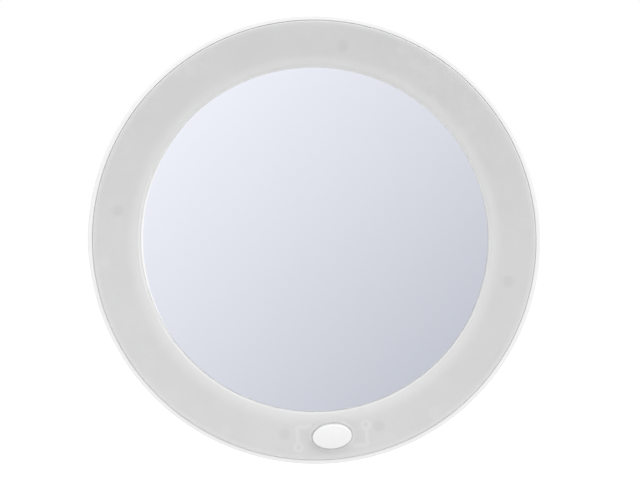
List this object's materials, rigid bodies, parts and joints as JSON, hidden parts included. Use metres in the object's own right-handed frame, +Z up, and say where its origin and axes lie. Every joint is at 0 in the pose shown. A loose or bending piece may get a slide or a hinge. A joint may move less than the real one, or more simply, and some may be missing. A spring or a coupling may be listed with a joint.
{
  "type": "lighted wall mirror",
  "caption": "Round wall mirror in a lit translucent ring, with an oval push button, a sliding battery door and suction cups.",
  "frame": {"origin": "centre of the round mirror, on the wall plane that the lips of the three suction cups lie in", "axes": "+Y points into the wall, so the mirror faces -Y; +Z is up, with the push button straight below the centre; +X is to the right of someone who looks into the mirror"},
  "size_m": [0.1998, 0.0343, 0.1998],
  "materials": {
    "white_plastic": "white moulded ABS with a fine satin surface",
    "frosted_plastic": "frosted translucent acrylic, light grey when unlit",
    "silvered_glass": "flat silvered glass",
    "grey_foam": "closed-cell foam with adhesive faces",
    "white_board": "white solder mask on a glass-fibre board",
    "lamp_package": "white lamp package with pale yellow phosphor",
    "black_ceramic": "black chip resistor",
    "gloss_plastic": "white moulded plastic, slightly glossy",
    "black_plastic": "black switch housing",
    "cell_jacket": "plain dark printed jacket over a steel can, no lettering",
    "nickel_plate": "nickel-plated spring steel",
    "zinc_steel": "zinc-plated steel",
    "clear_rubber": "clear soft vinyl",
    "red_sleeve": "red wire sleeve",
    "black_sleeve": "black wire sleeve"
  },
  "bodies": {
    "root": {"rear_housing": "white_plastic", "diffuser_ring": "frosted_plastic", "mirror_glass": "silvered_glass", "mirror_pad": "grey_foam", "led_ring_board": "white_board", "led_1": "lamp_package", "led_2": "lamp_package", "led_3": "lamp_package", "led_4": "lamp_package", "led_5": "lamp_package", "led_6": "lamp_package", "resistor_1": "black_ceramic", "resistor_2": "black_ceramic", "resistor_3": "black_ceramic", "resistor_4": "black_ceramic", "resistor_5": "black_ceramic", "resistor_6": "black_ceramic", "button_arm_left": "gloss_plastic", "button_arm_right": "gloss_plastic", "switch_body": "black_plastic", "battery_1": "cell_jacket", "battery_2": "cell_jacket", "battery_3": "cell_jacket", "battery_spring_1": "nickel_plate", "battery_spring_2": "nickel_plate", "battery_spring_3": "nickel_plate", "contact_negative": "nickel_plate", "contact_positive": "nickel_plate", "contact_link_lower": "nickel_plate", "contact_link_upper": "nickel_plate", "wire_negative": "black_sleeve", "wire_positive": "red_sleeve", "housing_screw_1": "zinc_steel", "housing_screw_2": "zinc_steel", "housing_screw_3": "zinc_steel", "housing_screw_4": "zinc_steel", "housing_screw_5": "zinc_steel", "suction_cup_1": "clear_rubber", "suction_cup_2": "clear_rubber", "suction_cup_3": "clear_rubber"},
    "button": {"button_cap": "gloss_plastic"},
    "plunger": {"switch_plunger": "black_plastic"},
    "door": {"battery_door": "white_plastic"}
  },
  "joints": [
    {"name": "button_press", "type": "slide", "parent": "root", "child": "button", "axis": [0, 1, 0], "range_m": [0, 0.0012], "stiffness_N_per_m": 450, "springref_m": -0.001},
    {"name": "plunger_travel", "type": "slide", "parent": "root", "child": "plunger", "axis": [0, 1, 0], "range_m": [0, 0.0012]},
    {"name": "door_slide", "type": "slide", "parent": "root", "child": "door", "axis": [0, 0, 1], "range_m": [0, 0.06]}
  ],
  "couplings": [
    {"joint": "plunger_travel", "follows": "button_press", "ratio": 1}
  ]
}
